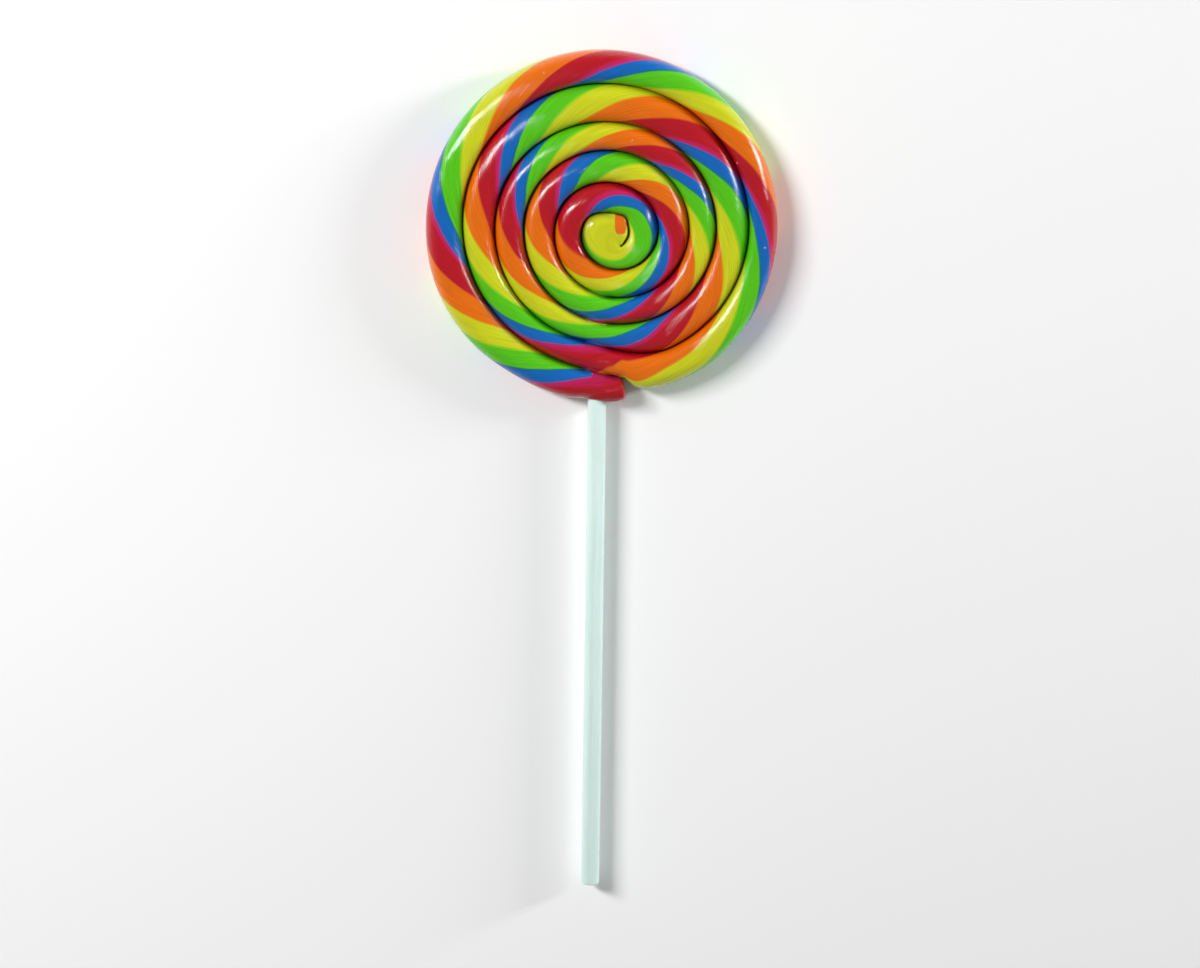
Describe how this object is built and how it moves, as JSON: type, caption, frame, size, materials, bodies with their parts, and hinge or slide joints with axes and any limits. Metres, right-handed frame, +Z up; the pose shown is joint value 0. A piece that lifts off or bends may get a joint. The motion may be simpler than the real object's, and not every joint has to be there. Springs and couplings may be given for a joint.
{
  "type": "swirl lollipop",
  "caption": "Flat round swirl lollipop: a twisted rainbow rope of boiled sugar coiled into a disc on a straight white plastic stick.",
  "frame": {"origin": "middle of the lying lollipop's footprint, on the surface that its flat back rests on", "axes": "+Z up out of the swirl's shown side, +Y from the stick's free end towards the candy"},
  "size_m": [0.0904, 0.2202, 0.01],
  "materials": {
    "sugar": "glossy boiled sugar, five twisted colours",
    "plastic": "satin white plastic"
  },
  "bodies": {
    "root": {"candy": "sugar", "stick": "plastic"}
  },
  "joints": []
}
